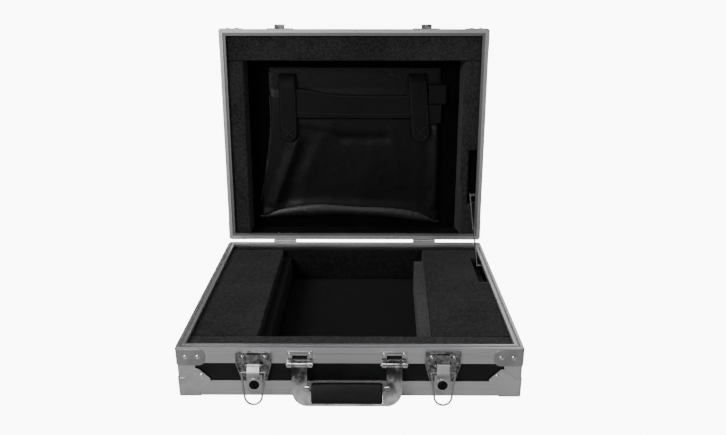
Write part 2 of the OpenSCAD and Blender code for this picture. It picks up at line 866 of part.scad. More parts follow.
module latch_catch() {
    z = rim_z + close_gap;
    color("silver") {
        translate([-21.5, -plate_t - fit, z + 3]) cube([43, plate_t, 19]);
        translate([-8.5, 0, z]) rotate([90, 0, 90]) linear_extrude(17)
            polygon([[-0.6 - fit, 2.6], [-6.2, 2.6], [-7.4, 3.8], [-7.4, 10.5], [-6, 10.5], [-6, 4.4],
                [-0.6 - fit, 4.4]]);
    }
}

/* ---- nodes ---- */

module latch_catches() opened() for (s = [-1, 1]) translate([s * latch_x + latch_shift, 0, 0]) latch_catch();
module base_rim_bars() in_base() fitted_rim_bars(base_h, true);
module base_edge_bars() in_base() edge_bars(base_h);
module base_corner_posts() in_base() corner_posts(base_h);
module base_corner_braces() in_base() corner_braces(base_h);
module base_corner_caps() in_base() corner_caps(base_h);
module base_rivets() in_base() shell_rivets(base_h, hinge_rivet_l);
module stay_base_bracket() in_stay(stay_base) stay_bracket(link_x[1], -8, 5);
module stay_lid_bracket() in_stay(stay_lid) rotate([-lid_open, 0, 0]) stay_bracket(link_x[0], -2.3, 8);
module stay_lower_link() in_stay(stay_base) stay_link_bar(stay_base, knee, link_x[1]);
module stay_upper_link() in_stay(stay_lid) stay_link_bar(stay_lid, knee, link_x[0]);

in_base() flat_board(base_h);  // base_bottom_board
in_base() side_boards(base_h, "front");  // base_front_board
in_base() side_boards(base_h, "back");  // base_back_board
in_base() side_boards(base_h, "left");  // base_left_board
in_base() side_boards(base_h, "right");  // base_right_board
base_rim_bars();
base_edge_bars();
base_corner_posts();
base_corner_braces();
base_corner_caps();
base_rivets();
base_floor_foam();
base_left_foam();
base_right_foam();
base_front_foam();
base_back_foam();
base_left_liner();
base_right_liner();
latch_plates();
latch_pins();
front_rivets();
handle_brackets();
handle_pins();
hinge_base_leaves();
hinge_pins();
stay_base_bracket();
in_lid() flat_board(lid_h);  // lid_top_board
in_lid() side_boards(lid_h, "front");  // lid_front_board
in_lid() side_boards(lid_h, "back");  // lid_back_board
in_lid() side_boards(lid_h, "left");  // lid_left_board
in_lid() side_boards(lid_h, "right");  // lid_right_board
in_lid() fitted_rim_bars(lid_h, false);  // lid_rim_bars
in_lid() edge_bars(lid_h);  // lid_edge_bars
in_lid() corner_posts(lid_h);  // lid_corner_posts
in_lid() corner_braces(lid_h);  // lid_corner_braces
in_lid() corner_caps(lid_h);  // lid_corner_caps
in_lid() shell_rivets(lid_h, lid_rivet_l);  // lid_rivets
lid_lining();
lid_front_foam();
lid_left_foam();
lid_right_foam();
hinge_lid_leaves();
latch_catches();
stay_lid_bracket();
pouch_body();
pouch_band();
pouch_strap(-118.2, -116.8, 30);  // pouch_strap_left
pouch_strap(110.4, 117.5, 32.5);  // pouch_strap_right
on_front(latch_shift - latch_x) latch_lever();  // latch_lever_left
on_front(latch_shift + latch_x) latch_lever();  // latch_lever_right
on_front(latch_shift - latch_x) latch_lock();  // latch_lock_left
on_front(latch_shift + latch_x) latch_lock();  // latch_lock_right
on_front(latch_shift - latch_x) latch_bail();  // latch_bail_left
on_front(latch_shift + latch_x) latch_bail();  // latch_bail_right
handle_frame();
handle_grip();
stay_upper_link();
stay_lower_link();
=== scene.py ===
"""Looks for the aluminum attache case: studio, metal finishes, foam, leather pouch and grip.

Lengths are in metres unless a name ends in _mm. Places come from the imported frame, with offsets
written in millimetres times MM.
"""

import json
import math

import bmesh
import bpy
from mathutils import Matrix, Vector, noise


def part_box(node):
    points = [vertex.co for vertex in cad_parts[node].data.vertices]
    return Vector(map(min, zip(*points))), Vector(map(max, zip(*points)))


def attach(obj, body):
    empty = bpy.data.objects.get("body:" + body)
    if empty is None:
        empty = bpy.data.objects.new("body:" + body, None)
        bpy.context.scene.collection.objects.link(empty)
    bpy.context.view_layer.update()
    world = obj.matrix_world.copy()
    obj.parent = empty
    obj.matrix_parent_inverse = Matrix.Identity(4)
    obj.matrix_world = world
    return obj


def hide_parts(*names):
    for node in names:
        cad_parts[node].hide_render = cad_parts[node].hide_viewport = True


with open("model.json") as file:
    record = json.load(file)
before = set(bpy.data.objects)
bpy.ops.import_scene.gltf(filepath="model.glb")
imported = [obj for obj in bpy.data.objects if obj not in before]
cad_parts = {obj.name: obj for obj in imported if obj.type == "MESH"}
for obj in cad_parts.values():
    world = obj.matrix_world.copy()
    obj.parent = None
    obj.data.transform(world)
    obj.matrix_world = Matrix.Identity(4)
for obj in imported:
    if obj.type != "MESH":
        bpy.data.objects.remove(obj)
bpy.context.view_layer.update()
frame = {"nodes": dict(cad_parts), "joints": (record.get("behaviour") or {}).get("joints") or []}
nodes = frame["nodes"]
joints = {j["name"]: j for j in frame["joints"]}
MM = 0.001
WHITE = 10                      # what the camera sees round the case, past white

# the camera: right of the frame's origin, in front of the base's front board, above the floor
CAMERA_LENS_MM = 33.215
CAMERA_RIGHT = 0.0220
CAMERA_BACK = 0.7544
CAMERA_HEIGHT = 0.5240
CAMERA_DOWN_DEG = 19.811
CAMERA_LEFT_DEG = 0.343

# sockets of the Mix node, which has a pair of inputs and an output for each kind of value
FACTOR, FLOAT_A, FLOAT_B, VECTOR_A, VECTOR_B, COLOR_A, COLOR_B = 0, 2, 3, 4, 5, 6, 7
FLOAT_OUT, VECTOR_OUT, COLOR_OUT = 0, 1, 2

FOAM_ROUND_MM = 1.6             # the foam blocks' rounded edges
FLOOR_ROUND_MM = 0.8            # those of the thin foam on the base's floor
FOAM_CELL_MM = 9                # size of their quads
FOAM_WOBBLE_MM = 0.5            # how uneven they are
BLOCK_LEAN_MM = 9.5             # how far the base's right block stands back behind
BLOCK_LEAN_RUN_MM = 258         # the depth over which it does so, from the front
LINER_LEAN_MM = 8
LINER_SLUMP_MM = 2.2
STRIP_SOFT_MM = 12              # the part of the lid's right strip that wanders
STRIP_LEAN_MM = 3.2             # how far its foot leans in

BOARD_SKIN_MM = 1.5             # the extrusions' metal outside the boards
SLOT_WIDTH_MM = 25              # the stay's slots, inwards from the metal
SLOT_CLEAR_MM = 5               # how far their cutters stand out of the foam
BASE_SLOT_MM = (63, 155)        # start and end, forwards from the hinge's axis
BASE_SLOT_DEEP_MM = 20
LID_SLOT_MM = (67.2, 164.2)     # start and end, up the lid from the hinge's axis
LID_SLOT_DEEP_MM = 28

STITCH_MM = 2.6
STITCH_GAP_MM = 1.1
STITCH_RADIUS_MM = 0.28
STITCH_ARCH_MM = 0.25           # how far a stitch stands up in its middle

SEAM_STEPS = 60                 # steps along the band's seams
PIPING_STEPS = 60
HEM_STEPS = 140
GRIP_AROUND = 40                # points round each ring of the grip
GRIP_ALONG = 56                 # steps along it
GRIP_SQUARE = 3.6               # how square its section is; 2 would be an oval
GRIP_CROWN = 0.03               # how much thinner it is towards its ends
GRIP_PINCH = 0.07               # and how much more at the ends themselves
GRIP_PINCH_FROM = 0.96          # from where, with the middle 0 and the ends 1


# ---------------------------------------------------------------- frames of the parts

def lid_basis():
    """The open lid lying flat: X across, Y up the lid from the hinge, Z out of the lid's mouth."""
    hinge = joints["lid_hinge"]
    turned = math.pi - math.radians(hinge["range_deg"][1])
    return Matrix.Translation(hinge["pos_m"]) @ Matrix.Rotation(turned, 4, "X")


def handle_basis():
    """The handle hanging straight: Z runs up to the pivot."""
    pivot = Vector(joints["handle_turn"]["pos_m"])
    low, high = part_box("handle_grip")
    reach = (low + high) / 2 - pivot
    return Matrix.Translation(pivot) @ Matrix.Rotation(-math.atan2(-reach.y, -reach.z), 4, "X")


BASE = Matrix.Identity(4)
LID = lid_basis()
HANDLE = handle_basis()


def local_box(node, basis=BASE):
    """Lowest and highest corner of a CAD node in a part's own frame."""
    back = basis.inverted()
    points = [back @ v.co for v in nodes[node].data.vertices]
    low = Vector([min(p[i] for p in points) for i in range(3)])
    high = Vector([max(p[i] for p in points) for i in range(3)])
    return low, high


# ---------------------------------------------------------------- camera, studio

def make_camera():
    """In front of the case, a little right of its middle, looking down."""
    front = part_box("base_front_board")[0].y
    camera = bpy.data.objects.new("camera", bpy.data.cameras.new("camera"))
    bpy.context.scene.collection.objects.link(camera)
    camera.data.sensor_width = 36
    camera.data.lens = CAMERA_LENS_MM
    camera.location = (CAMERA_RIGHT, front - CAMERA_BACK, CAMERA_HEIGHT)
    camera.rotation_euler = (math.radians(90 - CAMERA_DOWN_DEG), 0, math.radians(CAMERA_LEFT_DEG))
    bpy.context.scene.camera = camera


def area_light(name, place, target, size, power):
    """A soft box of a size and power, turned to its target."""
    light = bpy.data.lights.new(name, "AREA")
    light.shape = "RECTANGLE"
    light.size, light.size_y = size
    light.energy = power
    lamp = bpy.data.objects.new(name, light)
    lamp.location = place
    lamp.rotation_euler = (Vector(target) - Vector(place)).to_track_quat("-Z", "Y").to_euler()
    bpy.context.scene.collection.objects.link(lamp)


def make_world():
    """White to the camera; to the case, a room with a pale horizon and a bright ceiling."""
    world = bpy.data.worlds.new("studio")
    bpy.context.scene.world = world
    world.use_nodes = True
    tree = world.node_tree
    sky = tree.nodes["Background"]
    place = tree.nodes.new("ShaderNodeTexCoord")
    split = tree.nodes.new("ShaderNodeSeparateXYZ")
    shade = tree.nodes.new("ShaderNodeValToRGB")
    seen = tree.nodes.new("ShaderNodeLightPath")
    mixed = tree.nodes.new("ShaderNodeMix")
    mixed.data_type = "RGBA"
    mixed.inputs[COLOR_B].default_value = (WHITE, WHITE, WHITE, 1)
    # brightness by how far up a direction points, the horizon being 0 and straight up 1
    heights = ((0.0, 0.66), (0.140, 0.66), (0.158, 0.04), (0.50, 0.06), (0.80, 0.22), (1.0, 0.35))
    stops = shade.color_ramp.elements
    while len(stops) < len(heights):
        stops.new(0.5)
    for stop, (height, level) in zip(stops, heights):
        stop.position = height
        stop.color = (level, level, level * 1.01, 1)
    tree.links.new(place.outputs["Generated"], split.inputs[0])
    tree.links.new(split.outputs["Z"], shade.inputs["Fac"])
    tree.links.new(seen.outputs["Is Camera Ray"], mixed.inputs[FACTOR])
    tree.links.new(shade.outputs["Color"], mixed.inputs[COLOR_A])
    tree.links.new(mixed.outputs[COLOR_OUT], sky.inputs["Color"])


def make_floor():
    """A plain paper floor, which the camera sees as white."""
    floor_mesh = bpy.data.meshes.new("floor")
    shape = bmesh.new()
    bmesh.ops.create_grid(shape, x_segments=2, y_segments=2, size=6)
    shape.to_mesh(floor_mesh)
    shape.free()
    floor = bpy.data.objects.new("floor", floor_mesh)
    bpy.context.scene.collection.objects.link(floor)
    paper = Surface("studio_paper", {"Base Color": (0.45, 0.45, 0.45, 1), "Roughness": 0.9,
                                     "Emission Color": (1, 1, 1, 1)})
    grain = paper.noise(30, detail=2)
    paper.link(paper.spread(grain, 0.85, 0.95), "Roughness")
    straight = paper.node("LightPath").outputs["Is Camera Ray"]
    paper.link(paper.pick(straight, 0.05, WHITE), "Emission Strength")
    floor_mesh.materials.append(paper.material)


def make_studio():
    make_world()
    area_light("softbox_front", (-1.3, -2.1, 1.5), (0, 0.1, 0.2), (1.2, 0.7), 26)
    area_light("softbox_top", (-0.2, 0.0, 2.2), (0, 0, 0.1), (0.9, 0.7), 8)
    area_light("softbox_right", (1.0, 2.3, 1.45), (0.2, 0.1, 0.1), (1.3, 1.1), 6)
    make_floor()


# ---------------------------------------------------------------- materials

class Surface:
    """A node material built round one Principled shader."""

    def __init__(self, name, sockets):
        self.material = bpy.data.materials.new(name)
        self.material.use_nodes = True
        self.tree = self.material.node_tree
        self.shader = self.tree.nodes["Principled BSDF"]
        for key, value in sockets.items():
            self.shader.inputs[key].default_value = value
        self.coords = self.tree.nodes.new("ShaderNodeTexCoord").outputs["Object"]

    def node(self, kind, settings=None, inputs=None):
        made = self.tree.nodes.new("ShaderNode" + kind)
        for key, value in (settings or {}).items():
            setattr(made, key, value)
        for key, value in (inputs or {}).items():
            if isinstance(value, bpy.types.NodeSocket):
                self.tree.links.new(value, made.inputs[key])
            else:
                made.inputs[key].default_value = value
        return made

    def link(self, output, socket):
        self.tree.links.new(output, self.shader.inputs[socket])

    def placed(self, basis):
        """Coordinates in a part's own frame."""
        back = basis.inverted()
        mapped = self.node("Mapping", inputs={
            "Vector": self.coords, "Location": back.to_translation(), "Rotation": back.to_euler()})
        return mapped.outputs["Vector"]

    def stretched(self, vector, scale):
        return self.node("Mapping", inputs={"Vector": vector, "Scale": scale}).outputs["Vector"]

    def noise(self, scale, detail=4, vector=None, rough=0.5):
        made = self.node("TexNoise", inputs={
            "Vector": vector or self.coords, "Scale": scale, "Detail": detail, "Roughness": rough})
        return made.outputs["Fac"]

    def cells(self, scale, vector=None, feature="F1"):
        made = self.node("TexVoronoi", {"feature": feature}, {
            "Vector": vector or self.coords, "Scale": scale})
        return made.outputs["Distance"]

    def math(self, operation, a, b=0.0):
        return self.node("Math", {"operation": operation}, {0: a, 1: b}).outputs[0]

    def spread(self, value, low, high, start=0.3, end=0.7):
        """Maps start..end to low..high."""
        made = self.node("MapRange", inputs={0: value, 1: start, 2: end, 3: low, 4: high})
        return made.outputs[0]

    def pick(self, factor, a, b):
        """A number between a and b."""
        made = self.node("Mix", inputs={FACTOR: factor, FLOAT_A: a, FLOAT_B: b})
        return made.outputs[FLOAT_OUT]

    def tint(self, factor, a, b):
        """A colour between a and b."""
        made = self.node("Mix", {"data_type": "RGBA"}, {
            FACTOR: factor, COLOR_A: (*a, 1), COLOR_B: (*b, 1)})
        return made.outputs[COLOR_OUT]

    def bump(self, height, distance, strength=1.0, under=None):
        made = self.node("Bump", inputs={
            "Height": height, "Distance": distance, "Strength": strength})
        if under:
            self.tree.links.new(under, made.inputs["Normal"])
        return made.outputs["Normal"]


def extrusion_metal(name, basis, shade, inner=1.0):
    """Satin aluminium: fine die lines along each bar, dull patches and faint scuffs.

    Past the seal line the rim's lip is darkened by the factor inner: painted shade for the recess
    behind the seal's tongue.
    """
    skin = Surface(name, {"Metallic": 0.88, "IOR": 1.45})
    place = skin.placed(basis)
    low, high = local_box("lid_rim_bars" if basis is LID else "base_rim_bars", basis)
    split = skin.node("SeparateXYZ", inputs={0: place})
    middle = (low + high) / 2

    def from_end(axis):
        """How far a point is from the nearer end of the case along X or Y."""
        off = skin.math("ABSOLUTE", skin.math("SUBTRACT", split.outputs[axis], middle[axis]))
        return skin.math("SUBTRACT", high[axis] - middle[axis], off)

    from_side = from_end(0)
    from_front = from_end(1)
    on_side = skin.math("LESS_THAN", from_side, from_front)
    from_edge = skin.math("MINIMUM", from_side, from_front)
    # painted shade: past the seal line the colour is scaled down by inner, as if the lip lay in
    # shade
    lip = skin.spread(from_edge, 1.0, inner, 6.0 * MM, 7.0 * MM)
    across = skin.noise(1, 5, skin.stretched(place, (5, 900, 900)), 0.6)
    along = skin.noise(1, 5, skin.stretched(place, (900, 5, 900)), 0.6)
    lines = skin.pick(on_side, across, along)
    patches = skin.noise(9, 5)
    scuffs = skin.spread(skin.noise(60, 8, rough=0.7), 0, 1, 0.60, 0.72)
    dark = tuple(c * shade for c in (0.80, 0.80, 0.82))
    light = tuple(c * shade for c in (1.0, 1.0, 1.01))
    mixed = skin.math("ADD", lines, skin.math("MULTIPLY", patches, 0.6))
    brushed = skin.tint(skin.spread(mixed, 0, 1, 0.55, 1.05), dark, light)
    brushed_with_painted_shade = skin.node("VectorMath", {"operation": "SCALE"}, {0: brushed, 3: lip})
    skin.link(brushed_with_painted_shade.outputs[0], "Base Color")
    scratched = skin.math("MULTIPLY", scuffs, 0.10)
    worn = skin.math("ADD", skin.spread(patches, 0.36, 0.50), scratched)
    skin.link(skin.math("ADD", worn, skin.spread(lines, -0.04, 0.05)), "Roughness")
    skin.link(skin.bump(lines, 0.00006, 0.5), "Normal")
    return skin.material


def pressed_metal(name, shade, gloss, grain=1.0, patch_and_reflection_depth=0.16, size=45):
    """Plated or satin pressings: mottled gloss, tiny pits and handling marks. The dark colour
    patches are a random tone, and where they are deep and broad they are painted reflections and
    shade.
    """
    skin = Surface(name, {"Metallic": 1.0, "IOR": 1.45})
    patches = skin.noise(size, 5)
    pits = skin.cells(900)
    marks = skin.spread(skin.noise(160, 6, rough=0.75), 0, 1, 0.62, 0.72)
    # dark patches: a random tone, and where deep, painted reflections and shade
    dark = (shade * (1 - patch_and_reflection_depth), shade * (1 - patch_and_reflection_depth), shade * (1.01 - patch_and_reflection_depth))
    mottled = skin.spread(patches, 0, 1, 0.38, 0.58)
    skin.link(skin.tint(mottled, dark, (shade, shade, shade)), "Base Color")
    rough = skin.spread(patches, gloss, gloss + 0.12)
    skin.link(skin.math("ADD", rough, skin.math("MULTIPLY", marks, 0.12)), "Roughness")
    skin.link(skin.bump(pits, 0.00005 * grain, 0.4 * grain), "Normal")
    return skin.material


def laminate():
    """Black board skin with a fine pebble, a little dust and rubbed grey spots."""
    skin = Surface("laminate", {"IOR": 1.5, "Specular IOR Level": 0.3})
    pebble = skin.cells(1500)
    dust = skin.noise(14, 6, rough=0.65)
    dusty = skin.spread(dust, 0, 1, 0.4, 0.75)
    skin.link(skin.tint(dusty, (0.006, 0.006, 0.007), (0.016, 0.016, 0.018)), "Base Color")
    skin.link(skin.spread(dust, 0.42, 0.62), "Roughness")
    skin.link(skin.bump(pebble, 0.00012, 0.5), "Normal")
    return skin.material


def foam(name, dark, light, grain=900):
    """Closed-cell foam: a speckled grey, matt, with open cut cells and broad uneven patches."""
    skin = Surface(name, {"Roughness": 0.95, "Specular IOR Level": 0.1, "Sheen Weight": 0.1,
                          "Sheen Roughness": 0.5})
    cell = skin.cells(grain)
    fine = skin.noise(grain * 0.8, 3)
    middle = skin.noise(grain * 0.25, 3, rough=0.7)
    broad = skin.noise(12, 5, rough=0.6)
    speck = skin.math("ADD", skin.math("MULTIPLY", fine, 0.3), skin.math("MULTIPLY", broad, 0.25))
    speck = skin.math("ADD", speck, skin.math("MULTIPLY", middle, 0.45))
    skin.link(skin.tint(skin.spread(speck, 0, 1, 0.40, 0.60), dark, light), "Base Color")
    under = skin.bump(broad, 0.0008, 0.25)
    skin.link(skin.bump(skin.math("ADD", cell, fine), 0.0004, 0.7, under), "Normal")
    return skin.material


def felt():
    """Short black felt on the lid's panel."""
    skin = Surface("felt", {"Roughness": 1.0, "Specular IOR Level": 0.1, "Sheen Weight": 0.3,
                            "Sheen Roughness": 0.4})
    fibres = skin.noise(1400, 6, skin.stretched(skin.coords, (1, 1, 0.3)), 0.7)
    broad = skin.noise(20, 4)
    dark, light = (0.002, 0.002, 0.002), (0.005, 0.005, 0.005)
    skin.link(skin.tint(skin.spread(broad, 0, 1), dark, light), "Base Color")
    skin.link(skin.bump(fibres, 0.0004, 0.8), "Normal")
    return skin.material


def leather(name, dark, light, gloss, grain=420, shine=0.18):
    """Soft grained leather: pebbled cells with creases between them, and a waxy, uneven gloss."""
    skin = Surface(name, {"IOR": 1.5, "Specular IOR Level": shine})
    warp = skin.node("TexNoise", inputs={"Vector": skin.coords, "Scale": 90.0, "Detail": 2.0})
    bent = skin.node("Mix", {"data_type": "VECTOR"}, {
        FACTOR: 0.008, VECTOR_A: skin.coords, VECTOR_B: warp.outputs["Color"]})
    place = bent.outputs[VECTOR_OUT]
    creases = skin.cells(grain, place, "DISTANCE_TO_EDGE")
    fine = skin.cells(grain * 2.7, place)
    broad = skin.noise(16, 5, rough=0.6)
    skin.link(skin.tint(skin.spread(broad, 0, 1), dark, light), "Base Color")
    skin.link(skin.math("ADD", skin.spread(broad, gloss, gloss + 0.14),
                        skin.spread(creases, 0.10, 0.0, 0.0, 0.15)), "Roughness")
    under = skin.bump(skin.spread(creases, 0, 1, 0.0, 0.22), 0.00018, 0.6)
    skin.link(skin.bump(fine, 0.00008, 0.4, under), "Normal")
    return skin.material


def thread():
    """Grey twisted sewing thread."""
    skin = Surface("thread", {"Roughness": 0.7, "Sheen Weight": 0.2})
    wave = skin.node("TexWave", inputs={"Vector": skin.coords, "Scale": 900.0, "Distortion": 1.0})
    twist = wave.outputs["Fac"]
    skin.link(skin.tint(twist, (0.03, 0.03, 0.034), (0.085, 0.085, 0.09)), "Base Color")
    skin.link(skin.bump(twist, 0.0001, 0.6), "Normal")
    return skin.material


# ---------------------------------------------------------------- CAD nodes

def finish_node(node, material, edge_mm=0.0):
    """Gives a CAD node its material, and softens its edges without touching its mesh."""
    piece = nodes[node]
    piece.data.materials.clear()
    piece.data.materials.append(material)
    if edge_mm:
        weld = piece.modifiers.new("weld", "WELD")
        weld.merge_threshold = 0.00001
        bevel = piece.modifiers.new("soft_edges", "BEVEL")
        bevel.width = edge_mm * MM
        bevel.segments = 2
        bevel.limit_method = "ANGLE"
        bevel.angle_limit = math.radians(40)
    for face in piece.data.polygons:
        face.use_smooth = True
    smooth = piece.modifiers.new("smooth_by_angle", "WEIGHTED_NORMAL")
    smooth.keep_sharp = True


# ---------------------------------------------------------------- building soft pieces

def add_piece(name, shape, material, body, basis):
    """Makes an object from a bmesh drawn in a part's own frame."""
    shape.transform(basis)
    bmesh.ops.recalc_face_normals(shape, faces=shape.faces)
    mesh = bpy.data.meshes.new(name)
    shape.to_mesh(mesh)
    shape.free()
    for face in mesh.polygons:
        face.use_smooth = True
    mesh.materials.append(material)
    piece = bpy.data.objects.new(name, mesh)
    bpy.context.scene.collection.objects.link(piece)
    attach(piece, body)
    return piece


def close_rings(shape, rings):
    """Joins a row of rings of points into one closed skin."""
    count = len(rings[0])
    for a, b in zip(rings, rings[1:]):
        for k in range(count):
            shape.faces.new((a[k], a[(k + 1) % count], b[(k + 1) % count], b[k]))
    shape.faces.new(rings[0])
    shape.faces.new(list(reversed(rings[-1])))


def stations(low, high, radius, cell):
    """Grid lines from low to high, close together over the rounded ends."""
    ends = [0, radius * 0.3, radius * 0.65, radius]
    inner = max(2, round((high - low - 2 * radius) / cell))
    step = (high - low - 2 * radius) / inner
    middle = [low + radius + step * i for i in range(1, inner)]
    return [low + t for t in ends] + middle + [high - t for t in reversed(ends)]


def soft_box(low, high, radius, cell, wobble, seed):
    """A closed box of small quads with rounded edges and slightly uneven faces."""
    lines = [stations(low[i], high[i], radius, cell) for i in range(3)]
    counts = [len(axis) - 1 for axis in lines]
    shape = bmesh.new()
    made = {}

    def corner(key):
        if key not in made:
            p = Vector([lines[i][key[i]] for i in range(3)])
            inner = Vector([min(max(p[i], low[i] + radius), high[i] - radius) for i in range(3)])
            out = (p - inner).normalized()
            p = inner + out * radius
            # the noise only takes away, so that the piece stays inside its box
            uneven = noise.noise(p * 22 + Vector((seed, seed * 0.7, 0))) * wobble
            uneven += noise.noise(p * 90 + Vector((0, seed, 0))) * wobble * 0.3
            made[key] = shape.verts.new(p + out * min(uneven, wobble * 0.6) - out * wobble * 0.6)
        return made[key]

    for axis in range(3):
        u, v = [i for i in range(3) if i != axis]
        for end in (0, counts[axis]):
            for i in range(counts[u]):
                for j in range(counts[v]):
                    keys = []
                    for du, dv in ((0, 0), (1, 0), (1, 1), (0, 1)):
                        key = [0, 0, 0]
                        key[axis], key[u], key[v] = end, i + du, j + dv
                        keys.append(tuple(key))
                    shape.faces.new([corner(k) for k in keys])
    return shape


def cut_with_box(piece, low, high, basis):
    """Cuts a box-shaped slot out of a piece."""
    cutter_mesh = bpy.data.meshes.new("cutter")
    shape = bmesh.new()
    bmesh.ops.create_cube(shape, size=1)
    for v in shape.verts:
        v.co = basis @ Vector([low[i] + (v.co[i] + 0.5) * (high[i] - low[i]) for i in range(3)])
    shape.to_mesh(cutter_mesh)
    shape.free()
    cutter = bpy.data.objects.new("cutter", cutter_mesh)
    bpy.context.scene.collection.objects.link(cutter)
    cut = piece.modifiers.new("slot", "BOOLEAN")
    cut.object = cutter
    cut.operation = "DIFFERENCE"
    cut.solver = "EXACT"
    bpy.context.view_layer.objects.active = piece
    with bpy.context.temp_override(object=piece, active_object=piece, selected_objects=[piece]):
        bpy.ops.object.modifier_apply(modifier=cut.name)
    bpy.data.objects.remove(cutter)


def foam_piece(node, material, body, basis, seed, radius_mm, bend):
    """Stands for a CAD foam block: softly rounded, uneven cut foam in the same place."""
    low, high = local_box(node, basis)
    shape = soft_box(low, high, radius_mm * MM, FOAM_CELL_MM * MM, FOAM_WOBBLE_MM * MM, seed)
    if bend:
        for v in shape.verts:
            v.co = bend(v.co, low, high)
    piece = add_piece("foam_" + node, shape, material, body, basis)
    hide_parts(node)
    return piece


def part_way(value, low, high):
    return min(max((value - low) / (high - low), 0), 1)


def lean_block(p, low, high):
    """The base's right block: its inner face slants, and is furthest out at the front."""
    along = part_way(p.y, low.y, low.y + BLOCK_LEAN_RUN_MM * MM)
    across = (p.x - low.x) / (high.x - low.x)
    left = low.x + BLOCK_LEAN_MM * MM * along
    return Vector((left + (high.x - left) * across, p.y, p.z))


def lean_liner(p, low, high):
    """The right liner leans with that block, and its top slumps towards the compartment."""
    along = part_way(p.y, low.y, high.y)
    across = (p.x - low.x) / (high.x - low.x)
    left = low.x + LINER_LEAN_MM * MM * along
    right = high.x - BLOCK_LEAN_MM * MM * (1 - along)
    up = (p.z - low.z) / (high.z - low.z)
    slump = LINER_SLUMP_MM * MM * up * up * (1 - across) * math.sin(math.pi * min(1, along * 1.05))
    return Vector((left + (right - left) * across - slump, p.y, p.z))


def sag_strip(p, low, high):
    """The lid's right strip: its inner edge wanders, and the face below it leans in."""
    inner = 1 - part_way(p.x, low.x, low.x + STRIP_SOFT_MM * MM)
    along = part_way(p.y, low.y, high.y)
    up = (p.z - low.z) / (high.z - low.z)
    wander = (1.9 * math.sin(along * 6.0 + 1.2) + 0.9 * math.sin(along * 13)) * up
    return Vector((p.x + inner * (wander - STRIP_LEAN_MM * (1 - up) + 2.2) * MM, p.y, p.z))


def foam_looks():
    """The blocks' material, and the others by node, most of them lighter or darker copies of the
    same foam that paint light and shade.
    """
    block = foam("foam_block", (0.016, 0.016, 0.017), (0.055, 0.055, 0.057))
    # painted shade: a darker copy of the foam for the back wall, deep in the compartment's shade
    back_painted_shade = foam("foam_back", (0.006, 0.006, 0.006), (0.024, 0.024, 0.025))
    # the liners: a lighter copy of the foam on the right one, painted light, and a near-black copy
    # on the left one, painted shade
    slab = foam("foam_slab", (0.050, 0.050, 0.052), (0.120, 0.120, 0.124), 1200)
    dark_slab = foam("foam_dark_slab", (0.002, 0.002, 0.002), (0.007, 0.007, 0.007), 1200)
    # painted shade: a near-black copy of the foam for the floor at the bottom of the compartment
    deep = foam("foam_floor", (0.002, 0.002, 0.002), (0.006, 0.006, 0.006))
    # painted light: a lighter copy of the foam for the front strip, which meets the light at
    # another angle
    pale = foam("foam_front", (0.026, 0.026, 0.027), (0.082, 0.082, 0.085))
    return block, {"base_back_foam": back_painted_shade, "base_front_foam": pale, "base_left_liner": dark_slab,
                   "base_right_liner": slab, "base_floor_foam": deep}


def make_foam():
    block, looks = foam_looks()
    shapes = {"base_right_foam": lean_block, "base_right_liner": lean_liner,
              "lid_right_foam": sag_strip}
    made = {}
    foams = [n for n in sorted(nodes) if n.endswith("foam") or n.endswith("liner")]
    for seed, node in enumerate(foams):
        body, basis = ("lid", LID) if node.startswith("lid") else ("base", BASE)
        radius = FLOOR_ROUND_MM if node == "base_floor_foam" else FOAM_ROUND_MM
        made[node] = foam_piece(node, looks.get(node, block), body, basis, seed + 1,
                                radius, shapes.get(node))
    # the slots that the stay folds into
    edge = local_box("base_right_board")[1].x + BOARD_SKIN_MM * MM
    inner = edge - SLOT_WIDTH_MM * MM
    axis = joints["lid_hinge"]["pos_m"][1]
    top = local_box("base_right_foam")[1].z
    near, far = BASE_SLOT_MM
    cut_with_box(made["base_right_foam"],
                 (inner, axis - far * MM, top - BASE_SLOT_DEEP_MM * MM),
                 (edge, axis - near * MM, top + SLOT_CLEAR_MM * MM), BASE)
    top = local_box("lid_right_foam", LID)[1].z
    near, far = LID_SLOT_MM
    cut_with_box(made["lid_right_foam"],
                 (inner, near * MM, top - LID_SLOT_DEEP_MM * MM),
                 (edge, far * MM, top + SLOT_CLEAR_MM * MM), LID)


def make_lining():
    low, high = local_box("lid_lining", LID)
    shape = soft_box(low, high, 0.6 * MM, 12 * MM, 0.25 * MM, 3)
    piece = add_piece("felt_lining", shape, felt(), "lid", LID)
    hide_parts("lid_lining")


# ---------------------------------------------------------------- pouch

def smooth_curve(values, t):
    """A smooth line through evenly spaced values."""
    spans = len(values) - 1
    i = min(int(t * spans), spans - 1)
    f = t * spans - i
    a, b, c, d = (values[min(max(i + k, 0), spans)] for k in (-1, 0, 1, 2))
    square = (2 * a - 5 * b + 4 * c - d) * f * f
    cube = (3 * b - a - 3 * c + d) * f ** 3
    return 0.5 * (2 * b + (c - a) * f + square + cube)


def ridge(p, start, end, width):
    """1 on a line between two points, falling off smoothly to either side and past its ends."""
    line = end - start
    t = min(max((p - start).dot(line) / line.length_squared, 0), 1)
    away = (p - start - line * t).length
    return math.exp(-(away / width) ** 2)


